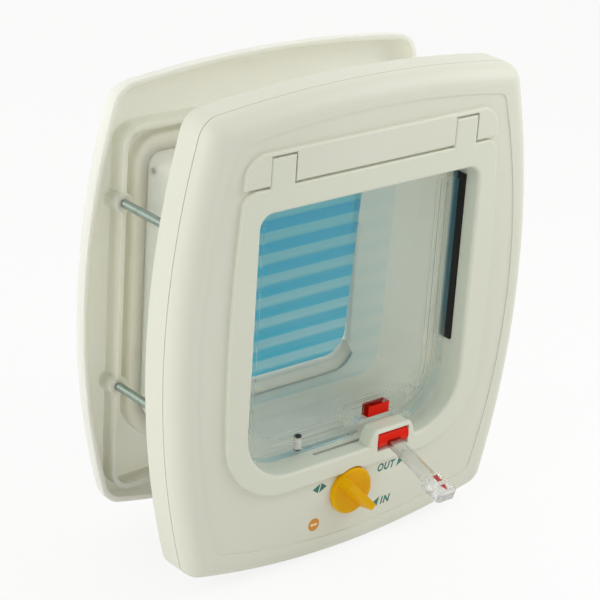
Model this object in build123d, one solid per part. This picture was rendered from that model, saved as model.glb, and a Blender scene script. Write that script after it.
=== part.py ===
"""Four-way cat flap for a door: inner and outer frames clamped on the door by four long screws.

Millimetres. X runs to the right as seen from indoors, Y points outdoors, Z is up. The origin is the
middle of the inner frame on the plane where it meets the door.
"""
import os
from math import sqrt

from build123d import *

# Inner frame outline, whose bows the outer frame shares
frame_width = 225.0
frame_height = 250.0
side_bow = 16.5
top_bow = 6.5
bottom_bow = 11.0
corner_radius = 12.0
wall = 2.5
door_thickness = 55.0

# Inner frame: body against the door, cover clipped over its front
inner_depth = 24.0
body_depth = 13.5
panel_inset = 12.5
panel_step = 0.5
panel_corner_radius = 6.0
spigot_height = 1.8
spigot_wall = 1.4
snap_clearance = 0.25
parting_groove = 0.5
parting_gap = 0.6
rib_thickness = 1.8
rib_setback = 2.0
head_rib_pitch = 40.0
foot_rib_x = 55.0
side_rib_heights = (-70.0, 5.0, 80.0)

# Window, and the bezel that lines it
side_width = 43.5
head_drop = 53.5
sill_rise = 56.8
window_top_radius = 7.0
window_bottom_radius = 28.0
bezel_border = 14.0
bezel_bow = 4.0
bezel_head = 12.5
bezel_foot = 10.3
bezel_proud = 2.5
bezel_round = 1.2
jamb_round = 1.8
bezel_skirt = 9.0
bezel_skirt_wall = 2.2
fit_gap = 0.3

# Hinge bar on the cover, with a notch for each bezel tab
bar_overhang = 10.0
bar_height = 16.5
bar_gap = 1.0
bar_proud = 2.3
tab_spacing = 114.6
tab_width = 14.5
tab_height = 14.5
tab_slit = 1.2
tab_side_gap = 0.4

# Flap, its axle and what it carries
flap_plane = -11.0
flap_side_gap = 1.7
flap_bottom_gap = 1.4
flap_bottom_radius = 27.0
flap_top_radius = 0.5
pane_thickness = 2.4
rim_thickness = 5.0
rim_width = 7.5
rim_start = 7.0
step_thickness = 3.6
step_width = 3.5
hinge_drop = 3.5
axle_radius = 1.5
knuckle_radius = 3.2
running_gap = 0.06
axle_seat = 5.0
flap_magnet_radius = 1.9
flap_magnet_length = 8.0
sill_magnet_radius = 2.5
sill_magnet_length = 4.0
magnet_cover = 1.0
magnet_cup_wall = 1.5

# Tunnel of the inner frame behind the bezel
tunnel_gap = 0.8
tunnel_top_radius = 2.0
seal_width = 8.0
seal_groove = 1.2
seal_edge_gap = 0.5
seal_end_gap = 1.0
seal_foot_gap = 14.5

# Selector knob with its two-tier stop cam
selector_drop = 21.3
knob_radius = 12.5
knob_disc = 3.0
knob_socket = 2.0
knob_grip = 7.5
knob_relief = 1.0
grip_width = 7.0
grip_top_width = 3.6
grip_end_inset = 0.4
shaft_radius = 4.0
cam_hub_radius = 8.0
finger_catch = 2.3
finger_width = 7.0
finger_thickness = 2.4
finger_gap = 0.7
cam_chamber_gap = 1.5
cam_floor = 2.0
spring_thickness = 0.8
spring_drop = 8.0
spring_rise = 2.8
spring_reach = 4.2
notch_radius = 1.8
free_pointer_angle = 135.0

# Passage indicator: red hub on a pin in the arch of the bezel, with a clear lever
indicator_x = 25.5
arch_height = 8.2
arch_flare = 3.1
arch_round = 4.0
arch_foot = 5.0
hub_radius = 4.6
hub_length = 20.0
hub_gap = 0.4
hub_wall = 2.0
hub_proud = 0.6
pin_radius = 1.0
pin_seat = 1.4
lever_length = 46.0
lever_width = 8.0
lever_thickness = 3.0
lever_tip_width = 12.0
lever_tip_length = 14.0
lever_tip_thickness = 5.0
lever_tip_round = 2.0
lever_droop = 17.5
striker_height = 6.0
striker_width = 14.0
striker_wall = 1.5
notch_gap = 1.2

# Sleeve that lines the door's cut-out, flanged at its outdoor end
sleeve_inset = 0.5
sleeve_head = 2.3
sleeve_foot = 1.3
sleeve_wall = 2.0
sleeve_top_radius = 5.0
sleeve_bottom_radius = 15.0
flange_width = 4.0
flange_thickness = 2.0
flange_margin = 2.5

# Outer frame: bowed border, and a collar round the seat of the sleeve
outer_width = 219.5
outer_height = 237.5
outer_rise = 1.8
outer_depth = 14.0
outer_corner_radius = 14.0
collar_head = 18.5
collar_foot = 31.5
collar_radius = 8.0
collar_setback = 1.0
panel_recess = 4.0
panel_round = 2.0

# Outer flap, which leans outdoors a little at rest
outer_flap_inset = 1.2
outer_flap_foot = 6.0
outer_flap_side_gap = 1.5
outer_flap_thickness = 3.0
outer_flap_lean = 3.5
outer_axle_cap = 0.5

# Clamp screws
screw_side = 18.0
screw_top = 54.5
screw_bottom = -42.5
screw_radius = 2.0
screw_head_radius = 4.2
screw_head_height = 2.6
screw_slot_width = 1.0
screw_clearance = 0.3
screw_tip_gap = 2.0
tower_radius = 5.5
boss_radius = 5.0

# Depths along Y that follow from the sizes above
parting_plane = -body_depth
panel_plane = -inner_depth + panel_step
panel_back = panel_plane + wall
web_back = parting_plane + wall
bezel_front = panel_plane - bezel_proud
bezel_back = bezel_front + bezel_skirt
tunnel_front = bezel_back + fit_gap
knob_back = panel_plane - fit_gap / 2
outer_rim = door_thickness
outer_face = outer_rim + outer_depth
outer_floor = outer_face - wall
collar_front = outer_rim + collar_setback
outer_panel = collar_front + panel_recess
outer_panel_back = outer_panel + wall
sleeve_start = -rib_setback
sleeve_end = outer_panel_back + flange_thickness
outer_flap_plane = outer_rim + outer_flap_inset
finger_front_plane = flap_plane - rim_thickness / 2 - finger_gap - finger_thickness
finger_rear_plane = flap_plane + rim_thickness / 2 + finger_gap
cup_floor = -rib_setback - cam_floor
hub_y = bezel_front - hub_proud + hub_radius

# Heights, half widths and radii that follow from the sizes above
window_half = frame_width / 2 - side_width
window_top = frame_height / 2 - head_drop
window_bottom = -frame_height / 2 + sill_rise
bezel_top = window_top + bezel_head
bezel_bottom = window_bottom - bezel_foot
bezel_bottom_radius = window_bottom_radius + bezel_foot
cover_edge_round = min(inner_depth - body_depth, corner_radius) - panel_step
hollow_edge_round = min(parting_plane - panel_back, corner_radius - wall) - panel_step
outer_edge_round = min(outer_depth, outer_corner_radius) - wall
tunnel_half = window_half + tunnel_gap
tunnel_bottom = window_bottom - tunnel_gap
tunnel_top = window_top + tunnel_gap
hinge_height = window_top - hinge_drop
flap_half = window_half - flap_side_gap
flap_bottom = window_bottom + flap_bottom_gap
axle_reach = tunnel_half + axle_seat - fit_gap
selector_height = window_bottom - selector_drop
finger_reach = flap_bottom + finger_catch - selector_height
cup_radius = finger_reach + cam_chamber_gap
arch_top = window_bottom + arch_height
arch_crest = hub_length + 2 * (hub_gap + hub_wall)
arch_base = arch_crest + 2 * arch_flare
hub_height = arch_top - hub_wall - hub_gap - hub_radius
magnet_x = -indicator_x
sleeve_half = window_half - sleeve_inset
sleeve_top = window_top + sleeve_head
sleeve_bottom = window_bottom - sleeve_foot
outer_flap_half = sleeve_half - outer_flap_side_gap
outer_axle_reach = sleeve_half + sleeve_wall - outer_axle_cap
screw_x = window_half + screw_side
collar_half = screw_x - wall / 2
screw_places = [(side * screw_x, height) for side in (-1, 1) for height in (screw_bottom, screw_top)]


def facing(y):
    """Plane at depth y that looks indoors: its own x and y run along X and Z."""
    return Plane(origin=(0, y, 0), x_dir=(1, 0, 0), z_dir=(0, -1, 0))


def slab(outline, back, front):
    """Outline in X and Z, carried from depth back to the nearer depth front."""
    return extrude(facing(back) * outline, amount=back - front)


def rod(x, z, radius, back, front):
    """Round bar along Y."""
    return slab(Pos(x, z) * Circle(radius), back, front)


def cross_rod(y, z, radius, left, right):
    """Round bar along X."""
    start = Plane(origin=(left, y, z), x_dir=(0, 1, 0), z_dir=(1, 0, 0))
    return extrude(start * Circle(radius), amount=right - left)


def upright_rod(x, y, radius, top, length):
    """Round bar hanging from the height top."""
    return Pos(x, y, top - length / 2) * Cylinder(radius, length)


def span(left, right, low, high):
    """Rectangle between two X and two Z values."""
    return Pos((left + right) / 2, (low + high) / 2) * Rectangle(right - left, high - low)


def barrel(inset, radius, width=frame_width, height=frame_height):
    """Frame outline with bowed sides, top and bottom, drawn in by inset."""
    half = width / 2 - inset
    top = height / 2 - inset
    corner = half - side_bow
    high = top - top_bow
    low = -top + bottom_bow
    middle = (high + low) / 2
    edges = [
        ThreePointArc((-corner, low), (0, -top), (corner, low)),
        ThreePointArc((corner, low), (half, middle), (corner, high)),
        ThreePointArc((corner, high), (0, top), (-corner, high)),
        ThreePointArc((-corner, high), (-half, middle), (-corner, low)),
    ]
    face = make_face(edges)
    return fillet(face.vertices(), radius)


def doorway(half, bottom, top, bottom_radius, top_radius):
    """Upright opening with its own radius at the bottom and top corners."""
    face = span(-half, half, bottom, top)
    face = fillet(face.vertices().sort_by(Axis.Y)[:2], bottom_radius)
    return fillet(face.vertices().sort_by(Axis.Y)[-2:], top_radius)


def arch(grow):
    """Hump over the indicator, grown by grow, with a foot below the sill."""
    crest = arch_top + grow
    foot = window_bottom - arch_foot
    half_crest = arch_crest / 2 + grow
    half_base = arch_base / 2 + grow
    face = make_face(
        Polyline(
            (indicator_x - half_base, foot),
            (indicator_x - half_base, window_bottom),
            (indicator_x - half_crest, crest),
            (indicator_x + half_crest, crest),
            (indicator_x + half_base, window_bottom),
            (indicator_x + half_base, foot),
            close=True,
        )
    )
    return fillet(face.vertices().sort_by(Axis.Y)[-2:], arch_round)


def window(grow=0.0):
    """Clear opening of the bezel, grown by grow."""
    return doorway(
        window_half + grow,
        window_bottom - grow,
        window_top + grow,
        window_bottom_radius + grow,
        window_top_radius + grow,
    )


def tunnel(grow=0.0):
    """Passage behind the bezel, grown by grow."""
    return doorway(
        tunnel_half + grow,
        tunnel_bottom - grow,
        tunnel_top + grow,
        window_bottom_radius + tunnel_gap + grow,
        tunnel_top_radius + grow,
    )


def outer_barrel(inset):
    """Outer frame's outline, a little smaller and higher than the inner one, drawn in by inset."""
    return Pos(0, outer_rise) * barrel(inset, outer_corner_radius - inset, outer_width, outer_height)


def sleeve(grow=0.0):
    """Passage through the door's cut-out, grown by grow."""
    return doorway(
        sleeve_half + grow,
        sleeve_bottom - grow,
        sleeve_top + grow,
        sleeve_bottom_radius + grow,
        sleeve_top_radius + grow,
    )


def collar(grow=0.0):
    """Inside of the outer frame's collar, grown by grow."""
    face = span(
        -collar_half - grow,
        collar_half + grow,
        window_bottom - collar_foot - grow,
        window_top + collar_head + grow,
    )
    return fillet(face.vertices(), collar_radius + grow)


def hub_pocket(grow):
    """Outline of the indicator's pocket; its housing is grown at the sides and below."""
    half = hub_length / 2 + hub_gap + grow
    low = hub_height - hub_radius - hub_gap - grow
    return span(indicator_x - half, indicator_x + half, low, hub_height + hub_radius + hub_gap)


def rib_lines():
    """Stiffening ribs in the back of the inner frame."""
    edge = frame_height / 2
    lines = Sketch()
    for x in (-head_rib_pitch, 0, head_rib_pitch):
        lines += span(x - rib_thickness / 2, x + rib_thickness / 2, tunnel_top, edge)
    for x in (-foot_rib_x, foot_rib_x):
        lines += span(x - rib_thickness / 2, x + rib_thickness / 2, -edge, tunnel_bottom)
    for z in side_rib_heights:
        lines += span(-frame_width / 2, frame_width / 2, z - rib_thickness / 2, z + rib_thickness / 2)
    return lines & barrel(wall / 2, corner_radius - wall)


def inner_frame_body():
    """Door-side moulding: rim wall, web, lined tunnel, screw towers, cam cup and ribs."""
    body = slab(barrel(0, corner_radius), 0, parting_plane)
    body -= slab(barrel(wall, corner_radius - wall), 0, web_back)
    spigot = barrel(wall + snap_clearance, corner_radius - wall)
    spigot -= barrel(wall + snap_clearance + spigot_wall, corner_radius - wall)
    body += slab(spigot, parting_plane, parting_plane - spigot_height)
    body += slab(rib_lines(), -rib_setback, web_back)
    for x, z in screw_places:
        body += rod(x, z, tower_radius, 0, parting_plane)
    body += rod(0, selector_height, cup_radius + wall, -rib_setback, parting_plane)
    body -= rod(0, selector_height, cup_radius, cup_floor, parting_plane)
    body += slab(tunnel(wall), sleeve_start, tunnel_front)
    body += upright_rod(
        magnet_x,
        flap_plane,
        sill_magnet_radius + magnet_cup_wall,
        tunnel_bottom,
        sill_magnet_length + magnet_cover + magnet_cup_wall,
    )
    seat_end = tunnel_half + axle_seat
    body += cross_rod(flap_plane, hinge_height, knuckle_radius, -seat_end, seat_end)
    body -= slab(tunnel(), sleeve_start, tunnel_front)
    body -= cross_rod(flap_plane, hinge_height, axle_radius, -axle_reach, axle_reach)
    for x, z in screw_places:
        body -= rod(x, z, screw_radius + screw_clearance, 0, parting_plane)
    slot_half = sqrt(finger_reach**2 - (tunnel_bottom - wall - selector_height) ** 2) + finger_gap
    slot = span(-slot_half, slot_half, tunnel_bottom - 2 * wall, tunnel_bottom + wall)
    for plane in (finger_front_plane, finger_rear_plane):
        body -= slab(slot, plane + finger_thickness + finger_gap / 2, plane - finger_gap / 2)
    body -= rod(0, selector_height, shaft_radius + running_gap, cup_floor + 2 * cam_floor / 3, cup_floor)
    body -= wind_seal(-1)
    body -= wind_seal(1)
    body -= sill_magnet()
    body -= detent_spring()
    return body


def sill_magnet():
    """Magnet under the sill that draws the flap to the middle."""
    return upright_rod(
        magnet_x, flap_plane, sill_magnet_radius, tunnel_bottom - magnet_cover, sill_magnet_length
    )


def wind_seal(side):
    """Pile strip let into one jamb of the tunnel beside the flap."""
    inner = side * (flap_half + seal_edge_gap)
    outer = side * (tunnel_half + seal_groove)
    low = window_bottom + window_bottom_radius + seal_foot_gap
    high = hinge_height - knuckle_radius - seal_end_gap
    strip = span(min(inner, outer), max(inner, outer), low, high)
    return slab(strip, tunnel_front + seal_width, tunnel_front)


def hinge_bar():
    """Raised bar over the window, notched for the two tabs."""
    low = bezel_top + bar_gap
    half = window_half + bar_overhang
    outline = span(-half, half, low, low + bar_height)
    outline = fillet(outline.vertices().sort_by(Axis.Y)[-2:], bar_height - 2 * wall)
    bar = slab(outline, panel_plane, panel_plane - bar_proud)
    bar = fillet(bar.edges().group_by(Axis.Y)[0], bezel_round)
    reach = tab_width / 2 + tab_side_gap
    for middle in (-tab_spacing / 2, tab_spacing / 2):
        notch = span(middle - reach, middle + reach, bezel_top, bezel_top + tab_height + tab_slit)
        bar -= slab(notch, panel_plane, panel_plane - bar_proud)
    return bar


def inner_frame_cover():
    """Front moulding: rounded shell, stepped panel, hinge bar, window and knob holes."""
    shell = slab(barrel(0, corner_radius), parting_plane, -inner_depth)
    shell = fillet(shell.edges().group_by(Axis.Y)[0], cover_edge_round)
    hollow = slab(barrel(wall, corner_radius - wall), parting_plane, panel_back)
    hollow = fillet(hollow.edges().group_by(Axis.Y)[0], hollow_edge_round)
    shell -= hollow
    lip = barrel(0, corner_radius) - barrel(parting_groove, corner_radius - parting_groove)
    shell -= slab(lip, parting_plane, parting_plane - parting_gap)
    shell -= slab(barrel(panel_inset, panel_corner_radius), panel_plane, -inner_depth)
    shell += hinge_bar()
    shell -= slab(window(bezel_skirt_wall + fit_gap), panel_back, panel_plane)
    shell -= slab(hub_pocket(hub_wall + fit_gap), panel_back, panel_plane)
    shell -= rod(0, selector_height, shaft_radius + running_gap, panel_back, panel_plane)
    return shell


def window_bezel():
    """Ring round the window with two tabs, a lined jamb and sill, and the indicator's arch."""
    half = window_half + bezel_border
    end = half - bezel_bow
    middle = (bezel_top + bezel_bottom) / 2
    edges = [
        Line((-end, bezel_top), (end, bezel_top)),
        ThreePointArc((end, bezel_top), (half, middle), (end, bezel_bottom)),
        Line((end, bezel_bottom), (-end, bezel_bottom)),
        ThreePointArc((-end, bezel_bottom), (-half, middle), (-end, bezel_top)),
    ]
    ring = make_face(edges)
    ring = fillet(ring.vertices().sort_by(Axis.Y)[:2], bezel_bottom_radius)
    ring = fillet(ring.vertices().sort_by(Axis.Y)[-2:], window_top_radius)
    for place in (-tab_spacing / 2, tab_spacing / 2):
        ring += span(place - tab_width / 2, place + tab_width / 2, window_top, bezel_top + tab_height)
    opening = window() - arch(0)
    bezel = slab(ring - opening, panel_plane, bezel_front)
    rim = bezel.faces().sort_by(Axis.Y)[0].outer_wire().edges()
    bezel = bezel.fillet(bezel_round, rim)
    jamb = bezel.faces().sort_by(Axis.Y)[0].inner_wires()[0].edges()
    bezel = Part() + bezel.fillet(jamb_round, jamb)
    bezel += slab(window(bezel_skirt_wall) - opening, bezel_back, panel_plane)
    bezel += slab(hub_pocket(hub_wall), bezel_back, panel_plane)
    bezel -= slab(hub_pocket(0), bezel_back, bezel_front)
    bezel -= rod(0, selector_height, knob_radius + knob_relief, panel_plane, bezel_front)
    bezel -= indicator_pin()
    return bezel


def flap_outline(inset):
    """Flap outline drawn in by inset, with the notch that clears the arch."""
    face = doorway(
        flap_half - inset,
        flap_bottom + inset,
        hinge_height,
        flap_bottom_radius - inset,
        flap_top_radius,
    )
    return face - arch(notch_gap + inset)


def flap_pane():
    """Clear flap with a stepped rim, a hinge knuckle along the top and two pockets at the bottom."""
    half = rim_thickness / 2
    below = span(-flap_half, flap_half, flap_bottom, hinge_height - rim_start)
    rim = (flap_outline(0) - flap_outline(rim_width)) & below
    step = (flap_outline(0) - flap_outline(rim_width + step_width)) & below
    flap = slab(flap_outline(0), flap_plane + pane_thickness / 2, flap_plane - pane_thickness / 2)
    flap += slab(step, flap_plane + step_thickness / 2, flap_plane - step_thickness / 2)
    flap += slab(rim, flap_plane + half, flap_plane - half)
    flap += slab(striker_outline(striker_wall), flap_plane + half, flap_plane - half)
    flap += cross_rod(flap_plane, hinge_height, knuckle_radius, -flap_half, flap_half)
    flap -= cross_rod(flap_plane, hinge_height, axle_radius + running_gap, -flap_half, flap_half)
    flap -= flap_striker()
    flap -= flap_magnet()
    return flap


def striker_outline(grow):
    """Outline of the block over the flap's notch, grown at the sides and above."""
    low = arch_top + notch_gap
    half = striker_width / 2 + grow
    return span(indicator_x - half, indicator_x + half, low, low + striker_height + grow)


def flap_striker():
    """Red block in the flap that trips the indicator."""
    return slab(striker_outline(0), flap_plane + rim_thickness / 2, flap_plane - rim_thickness / 2)


def flap_magnet():
    """Small magnet set upright in the flap's bottom rim."""
    return upright_rod(
        magnet_x,
        flap_plane,
        flap_magnet_radius,
        flap_bottom + magnet_cover + flap_magnet_length,
        flap_magnet_length,
    )


def flap_axle():
    """Steel rod that the flap swings on."""
    return cross_rod(flap_plane, hinge_height, axle_radius, -axle_reach, axle_reach)


def selector_knob():
    """Round knob with a tapered grip across it."""
    grip_front = knob_back - knob_disc - knob_grip
    disc = rod(0, selector_height, knob_radius, knob_back, knob_back - knob_disc)
    disc = fillet(disc.edges().group_by(Axis.Y)[0], knob_disc / 3)
    turned = Pos(0, selector_height) * Rot(0, 0, free_pointer_angle)
    foot = facing(knob_back - knob_disc / 2) * turned * Rectangle(2 * knob_radius, grip_width)
    crown = facing(grip_front) * turned * Rectangle(2 * knob_radius, grip_top_width)
    grip = loft([foot, crown]) & rod(0, selector_height, knob_radius - grip_end_inset, knob_back, grip_front)
    return disc + grip - rod(0, selector_height, shaft_radius, knob_back, knob_back - knob_socket)


def selector_cam():
    """Shaft with two tiers of stop fingers, one tier each side of the flap."""
    shoulder = panel_back + fit_gap
    cam = rod(0, selector_height, cam_hub_radius, finger_rear_plane + finger_thickness, shoulder)
    cam += rod(0, selector_height, shaft_radius, shoulder, knob_back - knob_socket)
    cam += rod(0, selector_height, shaft_radius, cup_floor + cam_floor / 2, finger_rear_plane)
    tiers = ((finger_front_plane, (90, 270)), (finger_rear_plane, (180, 270)))
    for plane, turns in tiers:
        tier = Sketch()
        for turn in turns:
            tier += Rot(0, 0, turn) * span(-finger_width / 2, finger_width / 2, 0, finger_reach)
        tier &= Circle(finger_reach)
        cam += slab(Pos(0, selector_height) * tier, plane + finger_thickness, plane)
    notches = Sketch()
    for turn in (0, 90, 180, 270):
        notches += Rot(0, 0, turn) * Pos(-cam_hub_radius, 0) * Circle(notch_radius)
    groove_front = finger_front_plane + finger_thickness + finger_gap
    cam -= slab(Pos(0, selector_height) * notches, finger_rear_plane - finger_gap, groove_front)
    return cam


def detent_spring():
    """Bent leaf that clicks into the cam's notches, its root let into the cup wall."""
    root = -sqrt(cup_radius**2 - spring_drop**2) - wall / 2
    nose = -cam_hub_radius - fit_gap
    elbow = nose - spring_reach
    leaf = make_face(
        Polyline(
            (root, -spring_drop),
            (elbow, -spring_rise),
            (nose, 0),
            (elbow, spring_rise),
            (elbow - spring_thickness, spring_rise - spring_thickness),
            (nose - 2 * spring_thickness, 0),
            (elbow - spring_thickness, spring_thickness - spring_rise),
            (root, spring_thickness - spring_drop),
            close=True,
        )
    )
    front = finger_front_plane + finger_thickness + finger_gap
    return slab(Pos(0, selector_height) * leaf, finger_rear_plane - finger_gap, front)


def indicator_pin():
    """Steel pin across the indicator's housing."""
    reach = hub_length / 2 + hub_gap + pin_seat
    return cross_rod(hub_y, hub_height, pin_radius, indicator_x - reach, indicator_x + reach)


def tilted(shape):
    """Shape drawn level about the hub's axis, turned down by the lever's droop."""
    return Pos(indicator_x, hub_y, hub_height) * Rot(lever_droop, 0, 0) * shape


def lever_blank():
    """Level lever: a bar with a wider, thicker tip, forward of the hub's axis."""
    root = -hub_radius / 2
    end = root - lever_length
    bar = Pos(0, (root + end) / 2, 0) * Box(lever_width, lever_length, lever_thickness)
    tip = Pos(0, end + lever_tip_length / 2, 0) * Box(
        lever_tip_width, lever_tip_length, lever_tip_thickness
    )
    lever = bar + fillet(tip.edges().filter_by(Axis.Z), lever_tip_round)
    return lever


def indicator_lever():
    """Clear lever that shows which way the last passage went."""
    return tilted(lever_blank())


def indicator_hub():
    """Red barrel that turns on the pin and grips the lever."""
    solid = cross_rod(0, 0, hub_radius, -hub_length / 2, hub_length / 2)
    bore = cross_rod(0, 0, pin_radius + running_gap, -hub_length / 2, hub_length / 2)
    return tilted(solid - bore - lever_blank())


def tunnel_sleeve():
    """Liner from the tunnel through the door, held by its flange behind the outer frame's panel."""
    liner = slab(sleeve(sleeve_wall), sleeve_end, sleeve_start)
    liner += slab(sleeve(sleeve_wall + flange_width), sleeve_end, outer_panel_back)
    liner -= slab(sleeve(), sleeve_end, sleeve_start)
    return liner - outer_flap_axle()


def outer_frame():
    """Outdoor moulding: rounded border, collar with screw bosses, and a sunken seat for the sleeve."""
    shell = slab(outer_barrel(0), outer_face, outer_rim)
    shell = fillet(shell.edges().group_by(Axis.Y)[-1], outer_edge_round)
    hollow = slab(outer_barrel(wall), outer_floor, outer_rim)
    hollow = fillet(hollow.edges().group_by(Axis.Y)[-1], outer_edge_round - wall)
    shell -= hollow
    shell += slab(collar(wall) - collar(), outer_floor, collar_front)
    pocket_grow = sleeve_wall + flange_width + flange_margin
    step = slab(sleeve(pocket_grow + wall), outer_face, outer_panel)
    shell += fillet(step.edges().group_by(Axis.Y)[0], panel_round)
    shell -= slab(sleeve(pocket_grow), outer_face, outer_panel_back)
    shell -= slab(sleeve(sleeve_wall + fit_gap), outer_panel_back, outer_panel)
    for x, z in screw_places:
        shell += rod(x, z, boss_radius, outer_floor, collar_front)
        shell -= rod(x, z, screw_radius, outer_floor - screw_tip_gap, collar_front)
    return shell


def outer_flap():
    """Second flap, in the sleeve's outdoor end, hung on its own axle."""
    face = doorway(
        outer_flap_half,
        sleeve_bottom + outer_flap_foot,
        hinge_height,
        sleeve_bottom_radius - outer_flap_side_gap,
        flap_top_radius,
    )
    half = outer_flap_thickness / 2
    pane = Pos(0, 0, -hinge_height) * slab(face, half, -half)
    pane = Pos(0, outer_flap_plane, hinge_height) * Rot(outer_flap_lean, 0, 0) * pane
    pane += cross_rod(outer_flap_plane, hinge_height, knuckle_radius, -outer_flap_half, outer_flap_half)
    bore = axle_radius + running_gap
    return pane - cross_rod(outer_flap_plane, hinge_height, bore, -outer_flap_half, outer_flap_half)


def outer_flap_axle():
    """Steel rod let into the sleeve's walls."""
    return cross_rod(outer_flap_plane, hinge_height, axle_radius, -outer_axle_reach, outer_axle_reach)


def clamp_screws():
    """Four pan-head screws from the inner frame's web to the outer frame's bosses."""
    screws = []
    head_front = parting_plane - screw_head_height
    cross = Rectangle(screw_head_radius, screw_slot_width) + Rectangle(screw_slot_width, screw_head_radius)
    for x, z in screw_places:
        shank = rod(x, z, screw_radius, outer_floor - screw_tip_gap, parting_plane)
        head = rod(x, z, screw_head_radius, parting_plane, head_front)
        head = fillet(head.edges().group_by(Axis.Y)[0], screw_head_height / 2)
        recess = slab(Pos(x, z) * cross, head_front + screw_head_height / 2, head_front)
        screws.append(shank + head - recess)
    return Compound(children=screws)


nodes = {
    "inner_frame_body": inner_frame_body(),
    "inner_frame_cover": inner_frame_cover(),
    "window_bezel": window_bezel(),
    "flap_pane": flap_pane(),
    "flap_axle": flap_axle(),
    "flap_striker": flap_striker(),
    "flap_magnet": flap_magnet(),
    "sill_magnet": sill_magnet(),
    "wind_seal_left": wind_seal(-1),
    "wind_seal_right": wind_seal(1),
    "selector_knob": selector_knob(),
    "selector_cam": selector_cam(),
    "detent_spring": detent_spring(),
    "indicator_hub": indicator_hub(),
    "indicator_lever": indicator_lever(),
    "indicator_pin": indicator_pin(),
    "tunnel_sleeve": tunnel_sleeve(),
    "outer_frame": outer_frame(),
    "outer_flap": outer_flap(),
    "outer_flap_axle": outer_flap_axle(),
    "clamp_screws": clamp_screws(),
}

os.makedirs("parts", exist_ok=True)
for name, shape in nodes.items():
    export_step(shape, f"parts/{name}.step")
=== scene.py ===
import bpy
import numpy as np
from mathutils import Matrix, Vector


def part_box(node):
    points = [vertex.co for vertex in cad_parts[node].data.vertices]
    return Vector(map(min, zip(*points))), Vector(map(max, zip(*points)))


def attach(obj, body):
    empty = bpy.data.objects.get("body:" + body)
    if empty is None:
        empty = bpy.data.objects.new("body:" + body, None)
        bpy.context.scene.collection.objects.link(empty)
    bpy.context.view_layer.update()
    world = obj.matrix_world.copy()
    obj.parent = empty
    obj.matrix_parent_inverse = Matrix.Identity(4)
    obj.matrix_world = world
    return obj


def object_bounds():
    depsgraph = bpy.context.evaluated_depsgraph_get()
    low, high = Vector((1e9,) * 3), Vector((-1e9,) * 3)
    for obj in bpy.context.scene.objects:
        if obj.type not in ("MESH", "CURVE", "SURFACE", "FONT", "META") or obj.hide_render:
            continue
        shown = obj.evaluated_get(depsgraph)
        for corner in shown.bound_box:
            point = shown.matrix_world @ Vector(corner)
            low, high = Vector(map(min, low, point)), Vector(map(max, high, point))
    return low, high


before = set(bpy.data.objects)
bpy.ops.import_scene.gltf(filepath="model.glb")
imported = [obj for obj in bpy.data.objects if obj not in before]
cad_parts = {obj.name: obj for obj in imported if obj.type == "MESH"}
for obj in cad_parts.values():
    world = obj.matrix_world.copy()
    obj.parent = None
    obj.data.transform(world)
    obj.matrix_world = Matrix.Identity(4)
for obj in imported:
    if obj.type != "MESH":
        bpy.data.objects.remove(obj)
cad_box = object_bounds()
scene = bpy.context.scene
MM = 0.001


def extent(node):
    """Lowest corner, middle and highest corner of a node at rest, in millimetres."""
    low, high = (np.array(corner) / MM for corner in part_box(node))
    return low, (low + high) / 2, high


# Sizes of the solids that their boxes don't give, in millimetres, and the lever's angle in radians
KNOB_CLEARANCE = 0.15
LEVER_DROOP = np.radians(17.5)
LEVER_TIP_TOP = 2.5
SCREW_HEAD_RADIUS = 4.2
SLEEVE_HALF = 68.5
SLEEVE_SILL = -69.5
SLEEVE_ROUND = 15.0

# Places taken from the solids' boxes, in millimetres
KNOB = extent("selector_knob")[1]
PANEL = extent("selector_knob")[2][1] + KNOB_CLEARANCE
HUB = extent("indicator_hub")[1]
SCREWS_LOW, _, SCREWS_HIGH = extent("clamp_screws")
DOOR_INDOORS = extent("inner_frame_body")[2][1]
DOOR_OUTDOORS = extent("outer_frame")[0][1]
SLEEVE_END = extent("tunnel_sleeve")[2][1]
FLAP_FOOT = extent("outer_flap")[0][2]

# Thread: its root lies just inside the screws' shanks, in millimetres
THREAD_ROOT_RADIUS = 1.98
THREAD_PITCH = 0.8
THREAD_DEPTH = 0.24

# Threshold: depths before and past the sleeve's end, gap below the flap and wall, in millimetres
THRESHOLD_START = 10.0
THRESHOLD_CREST = 4.0
THRESHOLD_LIP = 2.0
THRESHOLD_GAP = 1.5
THRESHOLD_WALL = 0.8

# Printing: the ink's thickness in millimetres; the letters' slant, cap height, stroke and spacing as shares
INK_FILM = 0.06
SLANT = 0.28
CAP_SHARE = 0.7
STROKE_SHARE = 0.05
LETTER_SPACING = 1.2


class Wire:
    """A shader socket that takes part in Python arithmetic: every operator adds one Math node."""

    def __init__(self, tree, socket):
        self.tree = tree
        self.socket = socket

    def math(self, operation, *others):
        return self.tree.node("ShaderNodeMath", {"operation": operation}, [self, *others])

    def __add__(self, other):
        return self.math("ADD", other)

    __radd__ = __add__

    def __sub__(self, other):
        return self.math("SUBTRACT", other)

    def __rsub__(self, other):
        return self.tree.node("ShaderNodeMath", {"operation": "SUBTRACT"}, [other, self])

    def __mul__(self, other):
        return self.math("MULTIPLY", other)

    __rmul__ = __mul__

    def __truediv__(self, other):
        return self.math("DIVIDE", other)

    def __lt__(self, other):
        return self.math("LESS_THAN", other)

    def __gt__(self, other):
        return self.math("GREATER_THAN", other)


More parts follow.
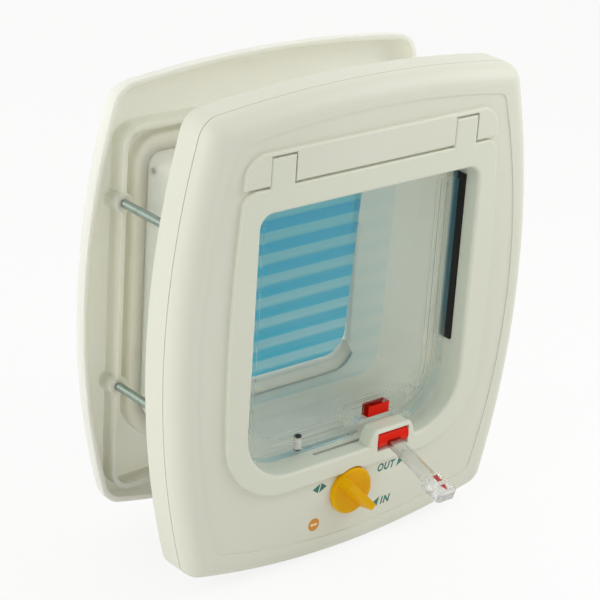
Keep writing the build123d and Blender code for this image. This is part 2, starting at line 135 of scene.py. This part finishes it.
class Tree:
    """A node tree, and the one way nodes are added to it."""

    def __init__(self, node_tree):
        self.nodes = node_tree.nodes
        self.links = node_tree.links

    def node(self, kind, settings=None, inputs=(), out=0):
        """Adds a node: settings first, then a value or a link for each named or numbered socket."""
        made = self.nodes.new(kind)
        for key, value in (settings or {}).items():
            setattr(made, key, value)
        pairs = inputs.items() if isinstance(inputs, dict) else enumerate(inputs)
        for key, value in pairs:
            self.feed(made.inputs[key], value)
        return Wire(self, made.outputs[out])

    def feed(self, socket, value):
        """Links a wire to a socket, or sets the socket to a plain value."""
        if isinstance(value, Wire):
            self.links.new(value.socket, socket)
        else:
            socket.default_value = value

    def mix(self, factor, low, high):
        """Colour between low and high."""
        low = low if isinstance(low, Wire) else (*low, 1.0)
        high = high if isinstance(high, Wire) else (*high, 1.0)
        return self.node("ShaderNodeMix", {"data_type": "RGBA"}, {0: factor, 6: low, 7: high}, out=2)

    def in_view(self):
        """1 on rays from the camera and on those that gloss or clear plastic passes on, 0 on all others."""
        kinds = ("Is Camera Ray", "Is Glossy Ray", "Is Transmission Ray")
        straight, glossy, through = (self.node("ShaderNodeLightPath", out=kind) for kind in kinds)
        return (straight + glossy + through).math("MINIMUM", 1.0)


class Finish(Tree):
    """One material round its Principled shader."""

    def __init__(self, name):
        self.material = bpy.data.materials.new(name)
        self.material.use_nodes = True
        super().__init__(self.material.node_tree)
        self.shader = self.nodes["Principled BSDF"]

    def set(self, **values):
        """Sets or links the shader's own sockets; underscores in the keys stand for spaces."""
        for key, value in values.items():
            self.feed(self.shader.inputs[key.replace("_", " ").title().replace("Ior", "IOR")], value)

    def place(self):
        """Object coordinates, in metres."""
        return self.node("ShaderNodeTexCoord", out="Object")

    def axis(self, letter):
        """One of the Object coordinates."""
        return self.node("ShaderNodeSeparateXYZ", inputs=[self.place()], out=letter)

    def noise(self, scale, detail=2.0, roughness=0.5):
        """Noise from 0 to 1 over the surface."""
        return self.node(
            "ShaderNodeTexNoise",
            inputs={"Vector": self.place(), "Scale": scale, "Detail": detail, "Roughness": roughness},
        )

    def slope(self, value, low, high):
        """0 where value is at low, 1 where it is at high, straight between."""
        return self.node("ShaderNodeMapRange", inputs={"Value": value, "From Min": low, "From Max": high})

    def bump(self, height, distance, strength):
        """Normal of a surface raised by height times distance, in metres."""
        return self.node(
            "ShaderNodeBump",
            inputs={"Strength": strength, "Distance": distance, "Height": height},
            out="Normal",
        )


def linear(red, green, blue):
    """Scene-linear colour of an 8-bit display colour."""
    share = np.array([red, green, blue]) / 255.0
    return tuple(np.where(share <= 0.04045, share / 12.92, ((share + 0.055) / 1.055) ** 2.4))


def moulded_cream(name, colour, shade, gloss, through=0.0):
    """Cream-white moulding: a slow drift of tone, a fine spark-eroded grain and a soft satin gloss.

    A thin wall lets light through: the share of light that wanders through it is given by through.
    """
    finish = Finish(name)
    drift = finish.noise(scale=14.0, detail=3.0)
    grain = finish.noise(scale=2600.0)
    finish.set(
        base_color=finish.mix(drift, linear(*colour), linear(*shade)),
        roughness=gloss + 0.1 * drift + 0.05 * grain,
        normal=finish.bump(grain, distance=0.00004, strength=0.35),
        specular_ior_level=0.3,
        subsurface_weight=through,
        subsurface_radius=(1.0, 1.0, 0.9),
        subsurface_scale=0.01,
    )
    return finish.material


def clear_moulding(name, tint, roughness, body, edge_roughness, edge_body):
    """Clear plastic with faint flow lines: body is how much of it shows beside what is behind it.

    Edges, which don't face along the piece's Y, are more matt and have more body.
    """
    edge_limit = 0.5
    finish = Finish(name)
    flow = finish.noise(scale=60.0)
    facing = finish.node("ShaderNodeTexCoord", out="Normal")
    depth = finish.node("ShaderNodeSeparateXYZ", inputs=[facing], out="Y").math("ABSOLUTE")
    edge = depth < edge_limit
    finish.set(
        base_color=finish.mix(flow, linear(*tint), (1.0, 1.0, 1.0)),
        roughness=roughness + 0.01 * flow + edge_roughness * edge,
        alpha=body + edge_body * edge,
        transmission_weight=1.0,
        ior=1.3,
    )
    return finish.material


def banded_clear(name):
    """Clear flap with blue bands of equal pitch printed on it, paler towards the bottom; sizes in metres."""
    pitch = 0.01257
    band_foot = 0.0206
    half_height = 0.064
    finish = Finish(name)
    z = finish.axis("Z")
    band = ((z - band_foot) / pitch).math("FRACT") < 0.5
    height = finish.slope(z, -half_height, half_height)
    blue = finish.mix(height, linear(26, 158, 182), linear(0, 136, 172))
    between = finish.mix(height, linear(130, 178, 184), linear(58, 154, 166))
    finish.set(
        base_color=finish.mix(band, between, blue),
        roughness=0.3 + 0.08 * band,
        transmission_weight=1.0,
        ior=1.3,
    )
    return finish.material


def coloured_moulding(name, colour, deep, gloss):
    """Glossy coloured moulding with a slight drift of tone and a fine grain."""
    finish = Finish(name)
    drift = finish.noise(scale=90.0, detail=3.0)
    grain = finish.noise(scale=3000.0)
    finish.set(
        base_color=finish.mix(drift, linear(*deep), linear(*colour)),
        roughness=gloss + 0.08 * drift,
        normal=finish.bump(grain, distance=0.00003, strength=0.3),
        specular_ior_level=0.08,
        coat_weight=0.03,
        coat_roughness=0.2,
    )
    return finish.material


def pile(name):
    """Black draught pile: dense upright fibres."""
    finish = Finish(name)
    strands = finish.noise(scale=1800.0, detail=4.0, roughness=0.7)
    finish.set(
        base_color=finish.mix(strands, linear(5, 5, 3), linear(34, 32, 26)),
        roughness=0.85 + 0.1 * strands,
        normal=finish.bump(strands, distance=0.0006, strength=0.9),
    )
    return finish.material


def plated_steel(name, colour, dull):
    """Bare or plated steel with a cloudy surface."""
    finish = Finish(name)
    cloud = finish.noise(scale=220.0, detail=4.0)
    finish.set(
        base_color=finish.mix(cloud, linear(*dull), linear(*colour)),
        roughness=0.28 + 0.2 * cloud,
        metallic=1.0,
        normal=finish.bump(cloud, distance=0.00005, strength=0.3),
    )
    return finish.material


def capped_magnet(name, node, cap=0.9 * MM):
    """Magnet in a pale sleeve along Z that leaves its two dark ends bare."""
    low, middle, high = (corner * MM for corner in extent(node))
    bare = (high[2] - low[2]) / 2 - cap
    finish = Finish(name)
    cloud = finish.noise(scale=300.0, detail=3.0)
    end = (finish.axis("Z") - middle[2]).math("ABSOLUTE") > bare
    pale = finish.mix(cloud, linear(214, 216, 208), linear(226, 228, 220))
    dark = finish.mix(cloud, linear(58, 58, 60), linear(78, 78, 80))
    finish.set(base_color=finish.mix(end, pale, dark), roughness=0.4 + 0.1 * cloud)
    return finish.material


def ink(name, colour, thin=14):
    """Pad-printed ink: matt, with an uneven film that is lighter where it is thin."""
    finish = Finish(name)
    film = finish.noise(scale=700.0, detail=3.0)
    lighter = (min(255, level + thin) for level in colour)
    finish.set(
        base_color=finish.mix(film, linear(*colour), linear(*lighter)),
        roughness=0.45 + 0.15 * film,
    )
    return finish.material


def pale_floor(name, white=0.85):
    """Pale floor that shows as white by the share white, and still takes the object's shadow."""
    finish = Finish(name)
    finish.set(base_color=(0.9, 0.9, 0.9, 1.0), roughness=0.9)
    glow = finish.node("ShaderNodeEmission", inputs={"Color": (1.0, 1.0, 1.0, 1.0), "Strength": 1.0})
    lit = Wire(finish, finish.shader.outputs["BSDF"])
    shown = finish.node("ShaderNodeMixShader", inputs=[white * finish.in_view(), lit, glow])
    finish.feed(finish.nodes["Material Output"].inputs["Surface"], shown)
    return finish.material


cream = moulded_cream("cream_moulding", (228, 229, 215), (222, 223, 208), gloss=0.32)
bright_cream = moulded_cream("bezel_moulding", (226, 228, 213), (222, 224, 208), gloss=0.3)
# Outer frame: the cream moulding made lighter than the inner frame's, as painted light for the shade in its
# hollow
outer_cream_painted_light = moulded_cream("outer_moulding_painted_light", (247, 248, 235), (244, 245, 230), gloss=0.35, through=0.75)
# Sleeve and threshold: the cream moulding made lighter still, as painted light for the shade inside the
# tunnel
sleeve_cream_painted_light = moulded_cream("sleeve_moulding_painted_light", (255, 250, 227), (252, 247, 222), gloss=0.25, through=0.9)
plain_cam = moulded_cream("cam_moulding", (214, 214, 206), (204, 204, 196), gloss=0.42)
clear = clear_moulding(
    "clear_flap", (246, 246, 242), roughness=0.01, body=0.15, edge_roughness=0.3, edge_body=0.3
)
clear_lever = clear_moulding(
    "clear_lever", (226, 232, 232), roughness=0.1, body=0.45, edge_roughness=0.02, edge_body=0.15
)
banded = banded_clear("banded_outer_flap")
red = coloured_moulding("red_moulding", (236, 34, 4), (220, 22, 2), gloss=0.32)
yellow = coloured_moulding("yellow_moulding", (240, 184, 0), (228, 168, 0), gloss=0.34)
black_pile = pile("black_pile")
steel = plated_steel("axle_steel", (196, 198, 200), (150, 152, 155))
zinc = plated_steel("zinc_plate", (168, 182, 172), (122, 136, 126))
magnet_grey = plated_steel("magnet_grey", (150, 150, 152), (110, 110, 114))
sleeved_magnet = capped_magnet("sleeved_magnet", "flap_magnet")
teal_ink = ink("teal_ink", (30, 108, 98))
orange_ink = ink("orange_ink", (208, 136, 22))
red_ink = ink("red_ink", (168, 44, 30))
white_ink = ink("white_ink", (238, 222, 184))

finishes = {
    "inner_frame_body": cream,
    "inner_frame_cover": cream,
    "window_bezel": bright_cream,
    "flap_pane": clear,
    "flap_axle": steel,
    "flap_striker": red,
    "flap_magnet": sleeved_magnet,
    "sill_magnet": magnet_grey,
    "wind_seal_left": black_pile,
    "wind_seal_right": black_pile,
    "selector_knob": yellow,
    "selector_cam": plain_cam,
    "detent_spring": steel,
    "indicator_hub": red,
    "indicator_lever": clear_lever,
    "indicator_pin": steel,
    "tunnel_sleeve": sleeve_cream_painted_light,
    "outer_frame": outer_cream_painted_light,
    "outer_flap": banded,
    "outer_flap_axle": steel,
    "clamp_screws": zinc,
}


def paint(mesh, material):
    """Gives a mesh this one material."""
    mesh.materials.clear()
    mesh.materials.append(material)


for node, material in finishes.items():
    paint(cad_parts[node].data, material)


def add_piece(name, mesh, material, body):
    """Object for a finished mesh, riding on a body."""
    paint(mesh, material)
    piece = bpy.data.objects.new(name, mesh)
    scene.collection.objects.link(piece)
    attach(piece, body)


def mesh_of(name, points, faces):
    """Mesh from millimetre points and index faces."""
    mesh = bpy.data.meshes.new(name)
    mesh.from_pydata((np.asarray(points) * MM).tolist(), [], faces)
    mesh.update()
    return mesh


def tube_faces(rings, around):
    """Faces over rings of points, one after another: quads between neighbours and one face on each end."""
    index = np.arange(rings * around).reshape(rings, around)
    after = np.roll(index, -1, axis=1)
    quads = np.stack([index[:-1], index[1:], after[1:], after[:-1]], axis=-1).reshape(-1, 4)
    ends = [index[0].tolist(), index[-1][::-1].tolist()]
    return quads.tolist() + ends


def thread(x, z, start, end, around=24, per_turn=6):
    """Rolled thread along Y: a tube whose radius climbs and falls once per pitch.

    At turn t and depth y the radius is the root plus the thread's depth times a triangle wave of
    y / pitch - t, so that crest and root wind round the axis as a helix.
    """
    rings = int((end - start) / THREAD_PITCH * per_turn)
    y, turn = np.meshgrid(np.linspace(start, end, rings), np.arange(around) / around, indexing="ij")
    wave = 1 - np.abs(2 * ((y / THREAD_PITCH - turn) % 1) - 1)
    radius = THREAD_ROOT_RADIUS + THREAD_DEPTH * wave
    angle = 2 * np.pi * turn
    points = np.stack([x + radius * np.cos(angle), y, z + radius * np.sin(angle)], axis=-1)
    return points.reshape(-1, 3), tube_faces(rings, around)


def threshold(start, crest, end, rise, stop=np.radians(25), round_steps=16, ramp_steps=12):
    """Low thin ramp across the sleeve's sill: a section of depth and rise carried along the sill's outline.

    The outline is a quarter round, the straight sill and a quarter round, each round stopping short of
    upright. The section climbs as half a cosine wave from start to crest, runs level to end and comes back
    one wall lower; a point of it is the outline's point lifted straight up by the section's height.
    """
    turn = np.linspace(np.pi + stop, 1.5 * np.pi, round_steps)
    left = np.c_[SLEEVE_ROUND - SLEEVE_HALF + SLEEVE_ROUND * np.cos(turn), SLEEVE_ROUND * np.sin(turn)]
    outline = np.r_[left, left[::-1] * (-1, 1)] + (0.0, SLEEVE_SILL + SLEEVE_ROUND)
    climb = np.linspace(0, 1, ramp_steps)
    ramp = np.c_[start + (crest - start) * climb, rise * (1 - np.cos(np.pi * climb)) / 2]
    top = np.r_[ramp, [(end, rise)]]
    section = np.r_[top, top[::-1] - (0.0, THRESHOLD_WALL)]
    x, y = np.meshgrid(outline[:, 0], section[:, 0], indexing="ij")
    z = outline[:, 1][:, None] + section[:, 1]
    points = np.stack([x, y, z], axis=-1)
    return points.reshape(-1, 3), tube_faces(len(outline), len(section))


def plate(outline, thickness):
    """Flat plate: the outline (n, 2) at depth 0 and again at thickness, joined by a wall.

    The outline's own x and y run to the right and up; depth 0 is the back, thickness the front.
    """
    outline = np.asarray(outline, float)
    count = len(outline)
    back = np.c_[outline, np.zeros(count)]
    front = np.c_[outline, np.full(count, thickness)]
    ring = np.arange(count)
    after = np.roll(ring, -1)
    faces = [(ring + count).tolist(), ring[::-1].tolist()]
    faces += np.c_[ring, after, after + count, ring + count].tolist()
    return np.r_[back, front], faces


def on_panel(points, x, z, lift=0.0):
    """Plate points (right, up, out) on the front panel, x and z from the knob's axis, lift proud of it."""
    return np.c_[points[:, 0] + KNOB[0] + x, PANEL - lift - points[:, 2], points[:, 1] + KNOB[2] + z]


def on_lever(points, x, forward):
    """Plate points (right, towards the hub, up) on the lever's tip, tilted with it about the hub."""
    reach = forward - points[:, 1]
    height = LEVER_TIP_TOP + points[:, 2]
    y = HUB[1] - reach * np.cos(LEVER_DROOP) - height * np.sin(LEVER_DROOP)
    z = HUB[2] - reach * np.sin(LEVER_DROOP) + height * np.cos(LEVER_DROOP)
    return np.c_[HUB[0] + x + points[:, 0], y, z]


def disc_outline(radius, count=48):
    """Circle of the given radius."""
    turn = np.linspace(0, 2 * np.pi, count, endpoint=False)
    return radius * np.c_[np.cos(turn), np.sin(turn)]


def box_outline(width, height):
    """Rectangle about its middle."""
    return np.array([(-1, -1), (1, -1), (1, 1), (-1, 1)]) * (width / 2, height / 2)


def arrow_outline(width, height, way):
    """Arrow head with its tip towards way (+1 right, -1 left), its foot on the middle."""
    corners = np.array([(0.0, -height / 2), (way * width, 0.0), (0.0, height / 2)])
    return corners[::way]


def slanted(outline):
    """Outline leaning to the right as italic letters do."""
    return np.c_[outline[:, 0] + SLANT * outline[:, 1], outline[:, 1]]


def quarter_turned(outline):
    """Outline turned a quarter turn to the left."""
    return outline[:, ::-1] * (-1, 1)


def printed(name, outline, x, z, material, lift=0.0):
    """Thin printed shape on the front panel."""
    points, faces = plate(outline, INK_FILM)
    add_piece(name, mesh_of(name, on_panel(points, x, z, lift), faces), material, "frame")


def setting_arrow(name, width, height, way, x, z):
    """Arrow head that leans with the setting names."""
    printed(name, slanted(arrow_outline(width, height, way)), x, z, teal_ink)


def setting_name(name, words, height, width, x, z):
    """Slanted word of the given cap height and width, its left foot at x and z from the knob's axis."""
    curve = bpy.data.curves.new(name, "FONT")
    curve.body = words
    curve.shear = SLANT
    curve.space_character = LETTER_SPACING
    curve.size = height / CAP_SHARE
    curve.extrude = INK_FILM / 2
    curve.offset = height * STROKE_SHARE
    drawn = bpy.data.objects.new(name + "_curve", curve)
    scene.collection.objects.link(drawn)
    bpy.context.view_layer.update()
    mesh = bpy.data.meshes.new_from_object(drawn.evaluated_get(bpy.context.evaluated_depsgraph_get()))
    bpy.data.objects.remove(drawn)
    flat = np.zeros(len(mesh.vertices) * 3)
    mesh.vertices.foreach_get("co", flat)
    flat = flat.reshape(-1, 3)
    flat -= (flat[:, 0].min(), 0.0, -INK_FILM / 2)
    flat *= (width / np.ptp(flat[:, 0]), 1.0, 1.0)
    mesh.vertices.foreach_set("co", (on_panel(flat, x, z) * MM).ravel())
    mesh.update()
    add_piece(name, mesh, teal_ink, "frame")


def lever_mark(name, outline, x, forward):
    """Thin printed shape on the lever's tip."""
    points, faces = plate(outline, INK_FILM)
    add_piece(name, mesh_of(name, on_lever(points, x, forward), faces), red_ink, "indicator")


# Setting names round the knob
setting_name("label_out", "OUT", height=4.0, width=12.0, x=18.8, z=4.2)
setting_arrow("label_out_arrow", width=3.6, height=4.6, way=1, x=32.4, z=6.2)
setting_name("label_in", "IN", height=4.0, width=6.8, x=22.3, z=-15.3)
setting_arrow("label_in_arrow", width=3.9, height=5.2, way=-1, x=20.9, z=-13.3)
setting_arrow("label_free_left", width=4.2, height=5.0, way=-1, x=-20.0, z=6.0)
setting_arrow("label_free_right", width=4.2, height=5.0, way=1, x=-19.2, z=6.0)
closed_x = -21.9
closed_z = -14.0
printed("label_closed", disc_outline(radius=3.5), closed_x, closed_z, orange_ink)
printed("label_closed_bar", box_outline(width=4.0, height=1.2), closed_x, closed_z, white_ink, lift=INK_FILM)

# Marks on the lever's tip
lever_mark("lever_mark_bar", box_outline(width=3.0, height=4.2), x=1.5, forward=37.3)
arrow_to_tip = quarter_turned(arrow_outline(width=4.0, height=3.4, way=-1))
lever_mark("lever_mark_arrow", arrow_to_tip, x=0.9, forward=42.0)

# Thread on the bare length of each screw
screw_columns = (SCREWS_LOW[0] + SCREW_HEAD_RADIUS, SCREWS_HIGH[0] - SCREW_HEAD_RADIUS)
screw_rows = (SCREWS_LOW[2] + SCREW_HEAD_RADIUS, SCREWS_HIGH[2] - SCREW_HEAD_RADIUS)
for column, x in enumerate(screw_columns):
    for row, z in enumerate(screw_rows):
        name = f"screw_thread_{column}{row}"
        points, faces = thread(x, z, DOOR_INDOORS, DOOR_OUTDOORS)
        add_piece(name, mesh_of(name, points, faces), zinc, "frame")

# Threshold below the outer flap
points, faces = threshold(
    start=SLEEVE_END - THRESHOLD_START,
    crest=SLEEVE_END - THRESHOLD_CREST,
    end=SLEEVE_END + THRESHOLD_LIP,
    rise=FLAP_FOOT - THRESHOLD_GAP - SLEEVE_SILL,
)
add_piece("outer_threshold", mesh_of("outer_threshold", points, faces), sleeve_cream_painted_light, "frame")

# Camera at the photograph's viewing angle: angles in degrees, place in metres, lens in millimetres
CAMERA_AZIMUTH = -41.001
CAMERA_ELEVATION = 23.12
CAMERA_ROLL = 3.84
CAMERA_PLACE = (-0.65181, -0.72627, 0.42078)
CAMERA_SENSOR = 36.0
CAMERA_LENS = 128.83
camera_data = bpy.data.cameras.new("camera")
camera_data.sensor_width = CAMERA_SENSOR
camera_data.lens = CAMERA_LENS
camera = bpy.data.objects.new("camera", camera_data)
camera.matrix_world = (
    Matrix.Translation(CAMERA_PLACE)
    @ Matrix.Rotation(np.radians(CAMERA_AZIMUTH), 4, "Z")
    @ Matrix.Rotation(np.radians(90.0 - CAMERA_ELEVATION), 4, "X")
    @ Matrix.Rotation(np.radians(CAMERA_ROLL), 4, "Z")
)
scene.collection.objects.link(camera)
scene.camera = camera

# Floor just below the object, in millimetres
FLOOR_HALF = 40000.0
FLOOR_GAP = 0.2
floor_height = cad_box[0][2] / MM - FLOOR_GAP
corners = np.c_[box_outline(2 * FLOOR_HALF, 2 * FLOOR_HALF), np.full(4, floor_height)]
floor_mesh = mesh_of("floor", corners, [(0, 1, 2, 3)])
paint(floor_mesh, pale_floor("pale_floor"))
floor = bpy.data.objects.new("floor", floor_mesh)
scene.collection.objects.link(floor)

# White surroundings: white in view, and as a light brighter from behind than from the camera's side
AMBIENT = 0.7
BACK_SHARE = 0.31
WARM = (1.0, 0.995, 0.955)
WHITE = (1.0, 1.0, 1.0)
world = bpy.data.worlds.new("studio")
world.use_nodes = True
sky = Tree(world.node_tree)
background = sky.nodes["Background"]
toward = sky.node("ShaderNodeTexCoord", out="Generated")
light = AMBIENT + BACK_SHARE * sky.node("ShaderNodeSeparateXYZ", inputs=[toward], out="Y")
shown = sky.in_view()
sky.feed(background.inputs["Color"], sky.mix(shown, WARM, WHITE))
sky.feed(background.inputs["Strength"], light + shown * (1.0 - light))
scene.world = world


def soft_light(name, place, size, power):
    """Square softbox at place, turned towards the object; metres and watts."""
    data = bpy.data.lights.new(name, "AREA")
    data.size = size
    data.energy = power
    lamp = bpy.data.objects.new(name, data)
    lamp.location = place
    lamp.rotation_euler = (-Vector(place)).to_track_quat("-Z", "Y").to_euler()
    scene.collection.objects.link(lamp)


soft_light("key", place=(-1.5, -0.1, 0.6), size=1.0, power=7.6)
soft_light("fill", place=(0.4, -0.27, 0.38), size=0.4, power=1.3)

scene.view_settings.view_transform = "Standard"
